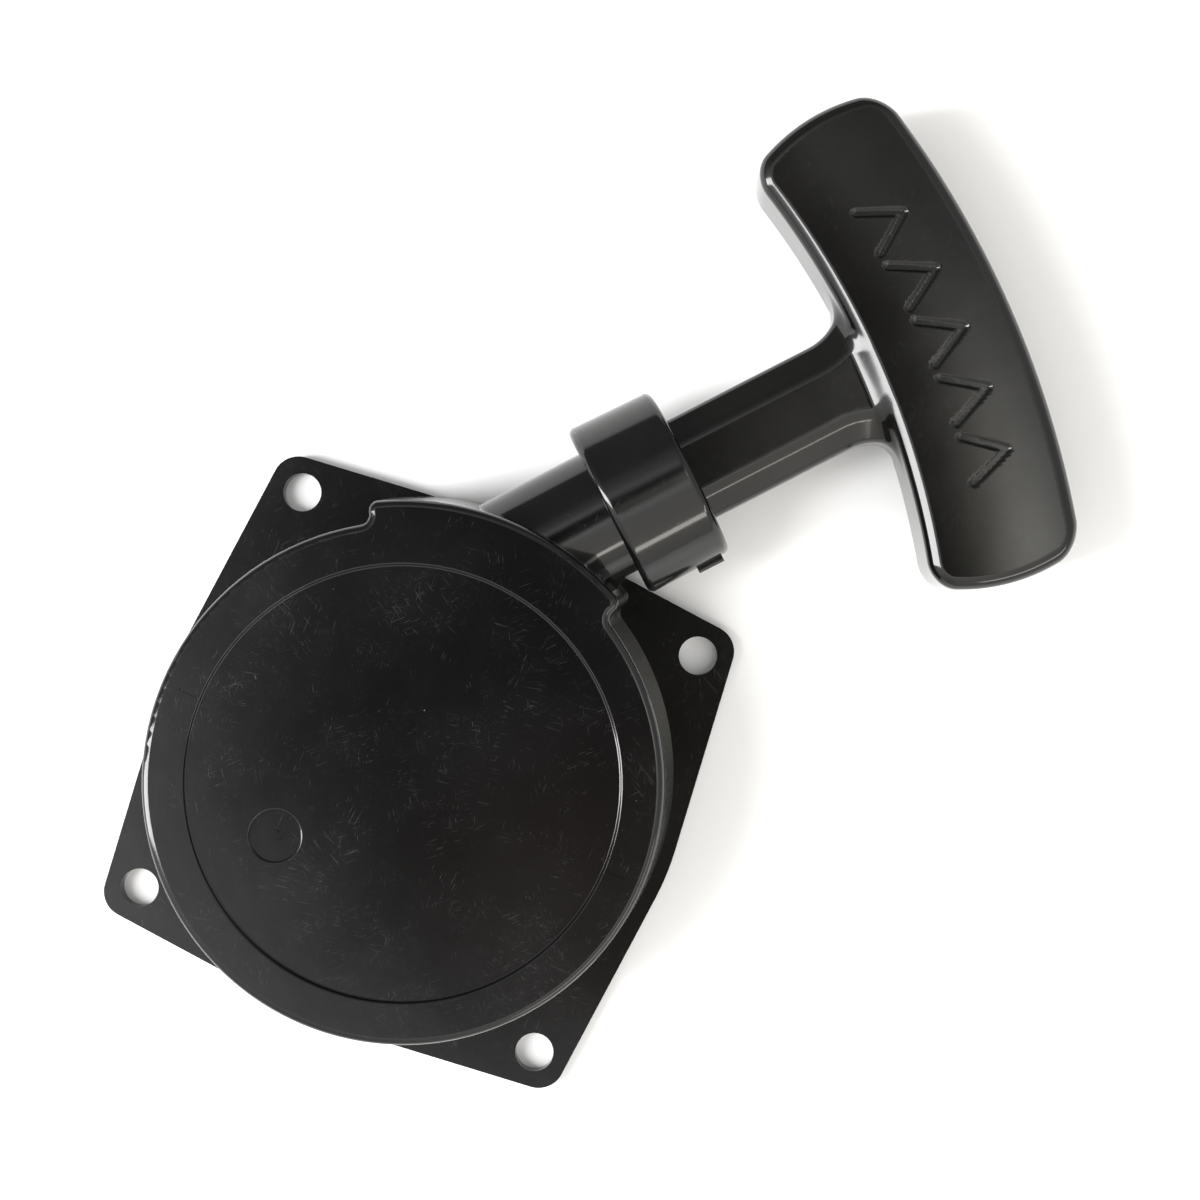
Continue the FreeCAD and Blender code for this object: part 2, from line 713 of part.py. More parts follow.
def make_grip_knot():
    return place(knot("grip_knot", "dims.grip_knot"), "dims.pocket_floor + dims.grip_knot_high", "dims.rope_y",
                 "dims.rope_z")


# corners of a ratchet's arm, from its pivot at the origin to the tooth
PAWL_ARM = ((3.35, 0), (2.9, -6.5), (0.4, -12.5), (-2.8, -11.2), (-3.0, -3.0), (-2.6, 0))


def make_pawl(name, half_turn):
    """Ratchet: pivot boss, arm to the tooth, and a peg that reaches into the guide."""
    body = new_body(name)
    boss = new_sketch(body, name + "_boss")
    add_circle(boss, "dims.pawl_boss", "dims.pawl_place")
    lift(boss, "dims.pawl_bottom")
    pad(body, name + "_boss_pad", boss, "dims.pawl_top - dims.pawl_bottom")
    arm = new_sketch(body, name + "_arm")
    add_polygon(arm, [("dims.pawl_place + %s" % x, str(y)) for x, y in PAWL_ARM])
    lift(arm, "dims.pawl_bottom")
    pad(body, name + "_arm_pad", arm, "dims.pawl_top - dims.pawl_bottom")
    peg = new_sketch(body, name + "_peg")
    add_circle(peg, "dims.peg_radius", "dims.pawl_place + dims.peg_offset * cos(dims.peg_angle)",
               "dims.peg_offset * sin(dims.peg_angle)")
    lift(peg, "dims.guide_bottom + dims.peg_gap")
    pad(body, name + "_peg_pad", peg, "dims.pawl_bottom + dims.overlap - dims.guide_bottom - dims.peg_gap")
    hole = new_sketch(body, name + "_hole")
    add_circle(hole, "dims.pin_radius + dims.running_gap", "dims.pawl_place")
    lift(hole, "dims.pawl_bottom")
    pocket_up(body, name + "_hole_cut", hole, "dims.pawl_top - dims.pawl_bottom")
    body.Placement = FreeCAD.Placement(V(0, 0, 0), FreeCAD.Rotation(V(0, 0, 1), half_turn))
    return body


def make_pawl_pin(name, side):
    height = "dims.reel_bottom + dims.pin_depth - dims.pawl_bottom"
    return cylinder(name, "dims.pin_radius", height, "%d * dims.pawl_place" % side, z="dims.pawl_bottom")


def coil_spring(name, radius, wire, pitch, turns):
    """Helical wire: a circle swept along a helix that starts on the X axis."""
    helix = Part.makeLongHelix(pitch, pitch * turns, radius)
    start = Part.Wire(Part.Circle(V(radius, 0, 0), V(0, 1, 0), wire).toShape())
    coil = doc.addObject("Part::Feature", name)
    coil.Shape = Part.Wire(helix).makePipeShell([start], True, True)
    length = turns * math.hypot(2 * math.pi * radius, pitch)
    expected = length * math.pi * wire ** 2
    if abs(coil.Shape.Volume / expected - 1) > 2 * CLOSE:
        raise RuntimeError("%s: the swept wire has the wrong volume" % name)
    return coil


def make_pawl_spring(name, side, half_turn):
    """Torsion coil round the ratchet's pin, in its seat in the reel."""
    coil = coil_spring(name, dim("pawl_coil"), dim("pawl_wire"), dim("pawl_pitch"), dim("pawl_turns"))
    turn = FreeCAD.Rotation(V(0, 0, 1), half_turn)
    height = dim("reel_bottom") + dim("pawl_coil_high")
    coil.Placement = FreeCAD.Placement(V(side * dim("pawl_place"), 0, height), turn)
    return coil


def make_friction_spring():
    """Open compression coil round the post, between the guide and the reel."""
    turns = dim("friction_turns")
    wire = dim("friction_wire")
    room = dim("reel_bottom") - dim("guide_top") - dim("friction_room")
    coil = coil_spring("friction_spring", dim("friction_coil"), wire, (room - 2 * wire) / turns, turns)
    coil.Placement = FreeCAD.Placement(V(0, 0, dim("guide_top") + wire + dim("friction_gap")), UPRIGHT)
    return coil


def peg_path_point(share):
    """Where the first ratchet's peg stands in the guide after a share of the guide's travel."""
    guide_turn = share * math.radians(dim("guide_travel"))
    peg_turn = math.radians(dim("peg_angle")) + dim("pawl_ratio") * guide_turn
    x = dim("pawl_place") + dim("peg_offset") * math.cos(peg_turn)
    y = dim("peg_offset") * math.sin(peg_turn)
    along = math.cos(guide_turn)
    across = math.sin(guide_turn)
    return V(x * along + y * across, y * along - x * across, 0)


def make_pawl_guide():
    """Slotted plate: each slot is the arc that the peg follows, with clearance."""
    plate = cylinder("guide_plate", "dims.guide_radius", "dims.guide_top - dims.guide_bottom",
                     z="dims.guide_bottom")
    low = dim("guide_bottom") - dim("over_cut")
    deep = dim("guide_top") + dim("over_cut") - low
    hole = cylinder("guide_hole", "dims.shoulder_radius + dims.guide_gap", deep, z=low)
    spare = 0.04
    points = [peg_path_point(share) for share in (-spare, 0.5, 1 + spare)]
    path = Part.Arc(*points).toShape().Curve
    room = dim("peg_radius") + dim("peg_gap")
    outer = [path.Center + (p - path.Center) * (1 + room / path.Radius) for p in points]
    inner = [path.Center + (p - path.Center) * (1 - room / path.Radius) for p in points]
    band = Part.Face(Part.Wire([
        Part.Arc(*outer).toShape(),
        Part.LineSegment(outer[2], inner[2]).toShape(),
        Part.Arc(*reversed(inner)).toShape(),
        Part.LineSegment(inner[0], outer[0]).toShape(),
    ]))
    caps = [Part.makeCylinder(room, deep, point) for point in (points[0], points[2])]
    opening = band.extrude(V(0, 0, deep)).fuse(caps).removeSplitter()
    slots = []
    for half_turn in (0, 180):
        slot = doc.addObject("Part::Feature", "guide_slot_%d" % half_turn)
        slot.Shape = opening
        slot.Placement = FreeCAD.Placement(V(0, 0, low), FreeCAD.Rotation(V(0, 0, 1), half_turn))
        slots.append(slot)
    return cut("pawl_guide", plate, fuse("guide_hollow", hole, *slots))


def make_screw_washer():
    """Shouldered washer: the guide turns on the shoulder and rests on the flange."""
    shoulder = cylinder("shoulder", "dims.shoulder_radius", "dims.post_end - dims.washer_top",
                        z="dims.washer_top")
    flange = cylinder("washer_flange", "dims.washer_radius", "dims.washer_top - dims.washer_bottom",
                      z="dims.washer_bottom")
    hole = cylinder("screw_washer_hole", "dims.screw_radius", "dims.post_end - dims.washer_bottom",
                    z="dims.washer_bottom")
    return cut("screw_washer", fuse("washer_solid", shoulder, flange), hole)


def make_centre_screw():
    """Flat-topped pan head with a hexagon socket."""
    head = cylinder("screw_head_form", "dims.screw_head", "dims.washer_bottom - dims.screw_bottom",
                    z="dims.screw_bottom")
    bottom = dim("screw_bottom")
    head_round = round_edges("screw_top", head, dim("head_round"),
                             lambda edge: is_circle(edge, dim("screw_head"), bottom))
    shank_length = "dims.post_end + dims.insert_length + dims.screw_past - dims.washer_bottom"
    shank = cylinder("screw_shank", "dims.screw_radius", shank_length, z="dims.washer_bottom")
    socket = doc.addObject("Part::Prism", "screw_socket")
    bind(socket, Circumradius="dims.socket_radius", Height="dims.socket_depth + dims.over_cut")
    socket.Polygon = 6
    place(socket, z="dims.screw_bottom - dims.over_cut")
    return cut("centre_screw", fuse("screw_solid", head_round, shank), socket)


def make_stem():
    """Eight-sided stem along the rope line."""
    body = new_body("stem")
    outline = new_sketch(body, "stem_sketch", "YZ_Plane")
    wide = "dims.stem_width / 2"
    high = "dims.stem_thick / 2"
    wide_flat = "(%s - dims.chamfer_wide)" % wide
    high_flat = "(%s - dims.chamfer_high)" % high
    corners = []
    for side, top in ((1, 1), (-1, 1), (-1, -1), (1, -1)):
        on_side = ("dims.rope_y + %d * %s" % (side, wide), "dims.rope_z + %d * %s" % (top, high_flat))
        on_top = ("dims.rope_y + %d * %s" % (side, wide_flat), "dims.rope_z + %d * %s" % (top, high))
        corners += [on_side, on_top] if side * top > 0 else [on_top, on_side]
    add_polygon(outline, corners)
    lift(outline, "dims.stem_start")
    pad(body, "stem_pad", outline, "dims.stem_end - dims.stem_start")
    return body


def bar_centre():
    """Centre of the bar's two arcs, in plan."""
    middle = dim("bar_apex") - (dim("bar_outer") - dim("bar_inner")) / 2
    back = (dim("bar_outer") + dim("bar_inner")) / 2
    turn = math.radians(dim("bar_turn"))
    return V(middle - back * math.cos(turn), dim("bar_y") - back * math.sin(turn), 0)


def on_bar(obj, radius, offset, height):
    """Stand an object on the bar's arc: radius from the arc's centre, offset along the bar."""
    turn = FreeCAD.Rotation(V(0, 0, 1), dim("bar_turn"))
    foot = bar_centre() + turn.multVec(V(radius, offset, 0)) + V(0, 0, height)
    obj.Placement = FreeCAD.Placement(foot, turn)
    return obj


def make_bar():
    """Crescent bar of the grip: a ring's arc with bowed ends, turned a little in plan."""
    bottom = dim("rope_z") - dim("bar_thick") / 2
    ring = []
    for name in ("bar_outer", "bar_inner"):
        form = loose_cylinder(name + "_form", "dims." + name, "dims.bar_thick")
        ring.append(on_bar(form, 0, 0, bottom))
    middle = (dim("bar_outer") + dim("bar_inner")) / 2
    reach = dim("bar_half") - dim("bar_end_round")
    ends = []
    for tag, offset in (("up", reach), ("down", -reach)):
        end = loose_cylinder("bar_end_" + tag, "dims.bar_end_round", "dims.bar_thick")
        ends.append(on_bar(end, middle - dim("bar_end_back"), offset, bottom))
    bar = common("bar_form", cut("bar_ring", *ring), fuse("bar_ends", *ends))

    def upright(edge):
        return edge.BoundBox.ZLength > dim("bar_thick") - CLOSE and edge.Curve.TypeId == "Part::GeomLine"

    corners = round_edges("bar_corners", bar, dim("bar_corner"), upright)
    return round_edges("bar", corners, dim("bar_edge"), lambda edge: edge.BoundBox.ZLength < CLOSE)


def make_webs():
    """Concave webs between stem and bar: a block less a cylinder that dips a little into both."""
    webs = []
    radius = dim("web_round")
    dip = dim("web_dip")
    inset = dim("web_inset")
    centre = bar_centre()
    room = dim("bar_inner") - radius + dip
    bottom = dim("rope_z") - dim("stem_thick") / 2 + dim("chamfer_high")
    for tag, side in (("up", 1), ("down", -1)):
        stem_side = dim("rope_y") + side * dim("stem_width") / 2
        hollow_y = stem_side + side * (radius - dip)
        hollow_x = centre.x + math.sqrt(room ** 2 - (hollow_y - centre.y) ** 2)
        touch_y = centre.y + (hollow_y - centre.y) * dim("bar_inner") / room
        hollow = loose_cylinder("web_hollow_" + tag, "dims.web_round", "dims.bar_thick")
        hollow.Placement = FreeCAD.Placement(V(hollow_x, hollow_y, bottom - dim("chamfer_high")), UPRIGHT)
        near_y = stem_side - side * dim("overlap")
        far_y = touch_y - side * inset
        slab = bind(doc.addObject("Part::Box", "web_block_" + tag), Length="dims.web_round + dims.web_long",
                    Height="dims.stem_thick - 2 * dims.chamfer_high")
        slab.Width = abs(far_y - near_y)
        slab.Placement = FreeCAD.Placement(V(hollow_x + inset, min(near_y, far_y), bottom), UPRIGHT)
        webs.append(cut("web_" + tag, slab, hollow))
    return webs


def make_chevrons():
    """Five arrowheads cut into the bar's top, pointing the way the grip is pulled."""
    strokes = []
    top = dim("rope_z") + dim("bar_thick") / 2
    for index in range(5):
        around = dim("bar_turn") + (index - 2) * dim("chevron_spacing")
        turn = FreeCAD.Rotation(V(0, 0, 1), around)
        tip = bar_centre() + turn.multVec(V(dim("chevron_tip"), 0, top - dim("chevron_depth")))
        for tag, lean in (("a", 180 - dim("chevron_lean")), ("b", 180 + dim("chevron_lean"))):
            stroke = bind(doc.addObject("Part::Box", "chevron_%d%s" % (index + 1, tag)),
                          Length="dims.chevron_length", Width="dims.chevron_stroke",
                          Height="dims.chevron_depth + dims.over_cut")
            leaning = turn.multiply(FreeCAD.Rotation(V(0, 0, 1), lean))
            corner = tip + leaning.multVec(V(-dim("chevron_stroke") / 2, -dim("chevron_stroke") / 2, 0))
            stroke.Placement = FreeCAD.Placement(corner, leaning)
            strokes.append(stroke)
    return strokes


def make_grip():
    solid = fuse("grip_solid", make_stem(), make_bar(), *make_webs())
    bore = rope_cylinder("grip_bore", "dims.rope_hole", "dims.stem_start - dims.over_cut",
                         "dims.pocket_floor + dims.over_cut")
    mouth = cone("grip_mouth", "dims.rope_hole + dims.mouth_flare", "dims.rope_hole", "dims.mouth_length",
                 "dims.stem_start", "dims.rope_y", "dims.rope_z", ALONG_X)
    pocket = rope_cylinder("knot_pocket_form", "dims.pocket_radius", "dims.pocket_floor",
                           "dims.bar_apex + dims.over_cut")
    return cut("grip", solid, fuse("grip_hollow", bore, mouth, pocket, *make_chevrons()))


def make_grip_washer():
    start = "dims.pocket_floor + dims.washer_gap"
    end = start + " + dims.washer_thick"
    plate = rope_cylinder("grip_washer_plate", "dims.washer_grip", start, end)
    hole = rope_cylinder("grip_washer_hole", "dims.rope_radius + dims.washer_hole", start, end)
    return cut("grip_knot_washer", plate, hole)


def make_grip_cap():
    """Snap-in disc with a short skirt, just below the bar's outer face."""
    radius = "dims.pocket_radius"
    outside = "dims.bar_apex - dims.cap_sunk"
    inside = outside + " - dims.cap_thick"
    end = inside + " - dims.skirt_long"
    face = rope_cylinder("cap_face", radius, inside, outside)
    skirt = rope_cylinder("cap_skirt", radius, end, inside)
    hollow = rope_cylinder("cap_hollow", radius + " - dims.skirt_wall", end, inside)
    return fuse("grip_cap", face, cut("cap_ring", skirt, hollow))


def make_all():
    parts = [
        make_housing(), make_eyelet(), make_insert(), make_recoil_spring(), make_reel(), make_bush(),
        make_rope_coil(), make_rope_run(), make_reel_knot(), make_grip_knot(), make_grip_washer(),
        make_grip_cap(), make_pawl_guide(), make_friction_spring(), make_screw_washer(),
        make_centre_screw(), make_grip(),
    ]
    for number, side, half_turn in ((1, 1, 0), (2, -1, 180)):
        parts.append(make_pawl("pawl_%d" % number, half_turn))
        parts.append(make_pawl_pin("pawl_pin_%d" % number, side))
        parts.append(make_pawl_spring("pawl_spring_%d" % number, side, half_turn))
    return parts


def check_document():
    for obj in doc.Objects:
        if "Invalid" in obj.State or "Error" in obj.State:
            raise RuntimeError("%s failed: %s" % (obj.Name, obj.State))


def write_parts(parts):
    os.makedirs("parts", exist_ok=True)
    for part in parts:
        shape = part.Shape
        if shape.isNull() or not shape.isValid():
            raise RuntimeError("%s has no valid shape" % part.Label)
    for part in parts:
        part.Shape.exportStep(os.path.join("parts", part.Label + ".step"))
        print("%-18s %2d solid %9.1f mm3" % (part.Label, len(part.Shape.Solids), part.Shape.Volume))


all_parts = make_all()
doc.recompute()
check_document()
write_parts(all_parts)
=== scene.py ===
"""Recoil starter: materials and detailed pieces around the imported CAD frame. All lengths are in metres."""
import json
import math

import bmesh
import bpy
import numpy as np
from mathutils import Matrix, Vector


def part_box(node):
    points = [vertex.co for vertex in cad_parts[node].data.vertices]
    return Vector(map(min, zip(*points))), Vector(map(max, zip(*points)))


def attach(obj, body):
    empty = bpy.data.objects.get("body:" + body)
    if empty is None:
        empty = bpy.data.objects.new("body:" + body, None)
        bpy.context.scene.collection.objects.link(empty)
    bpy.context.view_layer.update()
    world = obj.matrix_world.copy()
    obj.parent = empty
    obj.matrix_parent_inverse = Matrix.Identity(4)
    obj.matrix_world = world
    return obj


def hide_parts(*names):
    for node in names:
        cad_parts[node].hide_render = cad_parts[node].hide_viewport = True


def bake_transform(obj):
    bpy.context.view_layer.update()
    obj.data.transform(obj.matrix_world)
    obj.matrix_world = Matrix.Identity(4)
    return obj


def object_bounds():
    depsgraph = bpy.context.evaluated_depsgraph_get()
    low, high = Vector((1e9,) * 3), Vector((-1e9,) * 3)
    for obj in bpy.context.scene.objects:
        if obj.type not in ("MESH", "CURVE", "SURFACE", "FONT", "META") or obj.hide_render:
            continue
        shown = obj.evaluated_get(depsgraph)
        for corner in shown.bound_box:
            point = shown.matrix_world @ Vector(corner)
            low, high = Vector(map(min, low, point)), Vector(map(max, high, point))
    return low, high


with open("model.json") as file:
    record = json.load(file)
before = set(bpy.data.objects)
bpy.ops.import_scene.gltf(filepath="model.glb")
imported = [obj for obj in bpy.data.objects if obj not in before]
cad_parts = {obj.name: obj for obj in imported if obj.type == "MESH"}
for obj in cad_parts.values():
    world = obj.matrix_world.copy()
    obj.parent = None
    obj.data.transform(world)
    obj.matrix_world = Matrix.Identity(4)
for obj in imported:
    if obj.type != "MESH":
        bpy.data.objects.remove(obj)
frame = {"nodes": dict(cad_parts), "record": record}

import openvdb
from mathutils import Matrix, Vector

MM = 0.001
cad_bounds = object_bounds()
nodes = frame["nodes"]


# ---------------------------------------------------------------- node helpers

def new_material(name):
    material = bpy.data.materials.new(name)
    material.use_nodes = True
    tree = material.node_tree
    shader = tree.nodes["Principled BSDF"]
    return material, tree, shader


def add_node(tree, kind, **inputs):
    """A node with its named inputs set to values or linked to sockets."""
    node = tree.nodes.new(kind)
    for key, value in inputs.items():
        socket = node.inputs[key.replace("_", " ")]
        if isinstance(value, bpy.types.NodeSocket):
            tree.links.new(value, socket)
        else:
            socket.default_value = value
    return node


def object_coordinates(tree):
    return tree.nodes.new("ShaderNodeTexCoord").outputs["Object"]


def noise(tree, vector, scale, detail=2.0, roughness=0.5):
    node = add_node(tree, "ShaderNodeTexNoise", Vector=vector, Scale=scale, Detail=detail, Roughness=roughness)
    return node.outputs["Fac"]


def stretched(tree, vector, cell, rotation):
    """Coordinates in cells of uneven size, turned first: noise on them makes streaks."""
    turned = add_node(tree, "ShaderNodeMapping", Vector=vector)
    turned.vector_type = "TEXTURE"
    turned.inputs["Rotation"].default_value = rotation
    turned.inputs["Scale"].default_value = cell
    return turned.outputs["Vector"]


def ramp(tree, value, stops):
    """Colour ramp through (position, grey or colour) stops."""
    node = tree.nodes.new("ShaderNodeValToRGB")
    tree.links.new(value, node.inputs["Fac"])
    elements = node.color_ramp.elements
    while len(elements) < len(stops):
        elements.new(0.5)
    for element, (position, colour) in zip(elements, stops):
        element.position = position
        shade = (colour, colour, colour) if isinstance(colour, (int, float)) else colour
        element.color = (*shade, 1.0)
    return node.outputs["Color"]


def remap(tree, value, low, high, to_low, to_high):
    node = add_node(tree, "ShaderNodeMapRange", Value=value)
    for key, number in (("From Min", low), ("From Max", high), ("To Min", to_low), ("To Max", to_high)):
        node.inputs[key].default_value = number
    return node.outputs["Result"]


def math_node(tree, operation, a, b=None):
    node = tree.nodes.new("ShaderNodeMath")
    node.operation = operation
    for index, value in enumerate((a, b)):
        if value is None:
            continue
        if isinstance(value, bpy.types.NodeSocket):
            tree.links.new(value, node.inputs[index])
        else:
            node.inputs[index].default_value = value
    return node.outputs["Value"]


def mix_colour(tree, factor, a, b):
    node = tree.nodes.new("ShaderNodeMix")
    node.data_type = "RGBA"
    for socket, value in ((node.inputs["Factor"], factor), (node.inputs["A"], a), (node.inputs["B"], b)):
        if isinstance(value, bpy.types.NodeSocket):
            tree.links.new(value, socket)
        elif isinstance(value, (int, float)):
            socket.default_value = value
        else:
            socket.default_value = (*value, 1.0)
    return next(out for out in node.outputs if out.type == "RGBA")


def bump(tree, height, strength, distance, normal=None):
    node = add_node(tree, "ShaderNodeBump", Height=height, Strength=strength, Distance=distance)
    if normal is not None:
        tree.links.new(normal, node.inputs["Normal"])
    return node.outputs["Normal"]


# ---------------------------------------------------------------- materials

def scratches(tree, vector, turns, width, length, threshold):
    """Sparse hairlines in a few directions, 0 for none to 1 on a scratch."""
    bend_scale = 60.0
    bend_reach = 2.5 * MM
    patch_scale = 50.0
    total = None
    for index, turn in enumerate(turns):
        bent = add_node(tree, "ShaderNodeVectorMath")
        bent.operation = "SCALE"
        bend = add_node(tree, "ShaderNodeTexNoise", Vector=vector, Scale=bend_scale + 11.0 * index, Detail=1.0)
        tree.links.new(bend.outputs["Color"], bent.inputs[0])
        bent.inputs["Scale"].default_value = bend_reach
        moved = add_node(tree, "ShaderNodeVectorMath")
        tree.links.new(vector, moved.inputs[0])
        tree.links.new(bent.outputs["Vector"], moved.inputs[1])
        cells = stretched(tree, moved.outputs["Vector"], (width, length, width), (0.0, 0.0, turn))
        streak = remap(tree, noise(tree, cells, 1.0, 0.0), threshold, threshold + 0.06, 0.0, 1.0)
        patch = remap(tree, noise(tree, vector, patch_scale + 31.0 * index, 2.0), 0.5, 0.66, 0.0, 1.0)
        streak = math_node(tree, "MULTIPLY", streak, patch)
        total = streak if total is None else math_node(tree, "MAXIMUM", total, streak)
    return total


def dust(tree, vector, spacing, size, share):
    """Rare specks: 1 inside a speck, 0 elsewhere."""
    cells = add_node(tree, "ShaderNodeTexVoronoi", Vector=vector, Scale=1.0 / spacing, Randomness=1.0)
    near = remap(tree, cells.outputs["Distance"], size / spacing, 0.5 * size / spacing, 0.0, 1.0)
    picked = add_node(tree, "ShaderNodeSeparateColor", Color=cells.outputs["Color"])
    return math_node(tree, "MULTIPLY", near, math_node(tree, "LESS_THAN", picked.outputs["Red"], share))


class PlasticMarks:
    """What use leaves on glossy black plastic: directions and sizes of scratches, and specks of dust."""
    turns = (0.2, 0.9, 1.45, 2.3, 2.8)
    width = 0.11 * MM
    length = 4.2 * MM
    threshold = 0.74
    scratch_colour = (0.10, 0.10, 0.10)
    dust_spacing = 4.0 * MM
    dust_size = 0.10 * MM
    dust_share = 0.16
    dust_colour = (0.42, 0.41, 0.38)


def moulded_plastic(name, colour, roughness, scuffs, grain=0.2):
    """Glossy injection-moulded plastic: cloudy gloss, flow waves, hairline scratches and a little dust."""
    material, tree, shader = new_material(name)
    vector = object_coordinates(tree)
    cloud = noise(tree, vector, 42.0, 3.0, 0.55)
    mottle = noise(tree, vector, 900.0, 3.0, 0.6)
    fine = noise(tree, vector, 5200.0, 2.0)
    marks = scratches(tree, vector, PlasticMarks.turns, PlasticMarks.width, PlasticMarks.length,
                      PlasticMarks.threshold)
    specks = dust(tree, vector, PlasticMarks.dust_spacing, PlasticMarks.dust_size, PlasticMarks.dust_share)
    tint = ramp(tree, cloud, [(0.3, [0.8 * c for c in colour]), (0.7, [1.3 * c for c in colour])])
    scratched = math_node(tree, "MULTIPLY", marks, 0.10 * scuffs)
    tint = mix_colour(tree, scratched, tint, PlasticMarks.scratch_colour)
    dusted = math_node(tree, "MULTIPLY", specks, 0.55 * scuffs)
    tint = mix_colour(tree, dusted, tint, PlasticMarks.dust_colour)
    tree.links.new(tint, shader.inputs["Base Color"])
    gloss = remap(tree, cloud, 0.3, 0.72, roughness - 0.03, roughness + 0.04)
    gloss = math_node(tree, "ADD", gloss, math_node(tree, "MULTIPLY", mottle, 0.03))
    gloss = math_node(tree, "ADD", gloss, math_node(tree, "MULTIPLY", marks, 0.16 * scuffs))
    tree.links.new(gloss, shader.inputs["Roughness"])
    wave = bump(tree, noise(tree, vector, 75.0, 2.0), 0.35, 0.10 * MM)
    texture = math_node(tree, "ADD", math_node(tree, "MULTIPLY", fine, 0.5), mottle)
    skin = bump(tree, texture, grain, 0.006 * MM, wave)
    scored = bump(tree, marks, 0.4 * scuffs, -0.003 * MM, skin)
    tree.links.new(scored, shader.inputs["Normal"])
    shader.inputs["IOR"].default_value = 1.45
    return material


def plain_metal(name, colour, roughness, brushing=0.0, spots=0.15):
    """Metal with cloudy tarnish and, if asked, brush lines."""
    material, tree, shader = new_material(name)
    vector = object_coordinates(tree)
    cloud = noise(tree, vector, 260.0, 4.0, 0.6)
    fine = noise(tree, vector, 3500.0, 2.0)
    dark = [c * (1.0 - 2.2 * spots) for c in colour]
    tree.links.new(ramp(tree, cloud, [(0.3, dark), (0.65, colour)]), shader.inputs["Base Color"])
    gloss = remap(tree, cloud, 0.3, 0.7, roughness + 0.1, roughness - 0.04)
    tree.links.new(gloss, shader.inputs["Roughness"])
    height = fine
    if brushing:
        cells = stretched(tree, vector, (0.11 * MM, 3.3 * MM, 3.3 * MM), (0.0, 0.0, 0.6))
        lines = noise(tree, cells, 1.0, 2.0)
        height = math_node(tree, "ADD", fine, math_node(tree, "MULTIPLY", lines, brushing))
    tree.links.new(bump(tree, height, 0.3, 0.008 * MM), shader.inputs["Normal"])
    shader.inputs["Metallic"].default_value = 1.0
    return material


def nylon(name, colour):
    """Natural nylon: milky, slightly translucent, satin."""
    material, tree, shader = new_material(name)
    vector = object_coordinates(tree)
    cloud = noise(tree, vector, 120.0, 3.0)
    tint = ramp(tree, cloud, [(0.3, [0.85 * c for c in colour]), (0.7, colour)])
    tree.links.new(tint, shader.inputs["Base Color"])
    tree.links.new(remap(tree, cloud, 0.3, 0.7, 0.38, 0.5), shader.inputs["Roughness"])
    tree.links.new(bump(tree, noise(tree, vector, 1800.0, 3.0), 0.25, 0.01 * MM), shader.inputs["Normal"])
    shader.inputs["Subsurface Weight"].default_value = 0.15
    shader.inputs["Subsurface Scale"].default_value = 1.2 * MM
    return material


def braided_cord(name, colour, tracer_colour):
    """Braided nylon cord: matt, fibrous, with one darker strand."""
    material, tree, shader = new_material(name)
    vector = object_coordinates(tree)
    strand = tree.nodes.new("ShaderNodeAttribute")
    strand.attribute_name = "tracer"
    fibres = noise(tree, vector, 2600.0, 3.0, 0.6)
    plain = ramp(tree, fibres, [(0.3, [0.7 * c for c in colour]), (0.7, [1.15 * c for c in colour])])
    tree.links.new(mix_colour(tree, strand.outputs["Fac"], plain, tracer_colour), shader.inputs["Base Color"])
    tree.links.new(remap(tree, fibres, 0.3, 0.7, 0.6, 0.8), shader.inputs["Roughness"])
    tree.links.new(bump(tree, fibres, 0.5, 0.03 * MM), shader.inputs["Normal"])
    shader.inputs["Sheen Weight"].default_value = 0.2
    return material


MATERIALS = {
    "housing_plastic": moulded_plastic("housing_plastic", (0.0030, 0.0029, 0.0031), 0.085, 1.0),
    "grip_plastic": moulded_plastic("grip_plastic", (0.0036, 0.0034, 0.0031), 0.10, 0.5),
    "cap_plastic": moulded_plastic("cap_plastic", (0.008, 0.008, 0.008), 0.42, 0.3, 0.5),
    "reel_nylon": nylon("reel_nylon", (0.62, 0.60, 0.52)),
    "rope": braided_cord("rope", (0.34, 0.33, 0.31), (0.03, 0.03, 0.035)),
    "spring_steel": plain_metal("spring_steel", (0.23, 0.24, 0.27), 0.3, 0.4),
    "eyelet_steel": plain_metal("eyelet_steel", (0.72, 0.72, 0.73), 0.16),
    "pawl_steel": plain_metal("pawl_steel", (0.36, 0.36, 0.37), 0.42),
    "pin_steel": plain_metal("pin_steel", (0.62, 0.62, 0.63), 0.22),
    "zinc_steel": plain_metal("zinc_steel", (0.66, 0.66, 0.62), 0.3, 0.3),
    "screw_steel": plain_metal("screw_steel", (0.5, 0.5, 0.5), 0.28),
    "brass": plain_metal("brass", (0.74, 0.55, 0.24), 0.25),
    "bronze": plain_metal("bronze", (0.55, 0.36, 0.2), 0.4),
}


def paint_cad_nodes():
    for part in frame["record"]["subparts"]:
        mesh = nodes[part["node"]].data
        mesh.materials.clear()
        mesh.materials.append(MATERIALS[part["material_slot"]])


paint_cad_nodes()


# ---------------------------------------------------------------- grip

ROPE_Y = 24.4
ROPE_Z = 15.6
ROPE_RADIUS = 1.75


class Bar:
    """The grip's crescent bar, in millimetres: two arcs about one centre, turned a little in plan."""
    outer = 162.0
    inner = 136.8
    middle = (outer + inner) / 2
    apex_x = 123.6
    apex_y = 24.8
    turn = math.radians(-3.5)
    half_thick = 10.0
    end_round = 31.0
    end_reach = 41.8 - end_round
    end_back = 1.0
    corner = 4.0
    edge = 2.3
    crown = 0.45
    centre_x = apex_x - (outer - inner) / 2 - middle * math.cos(turn)
    centre_y = apex_y - middle * math.sin(turn)


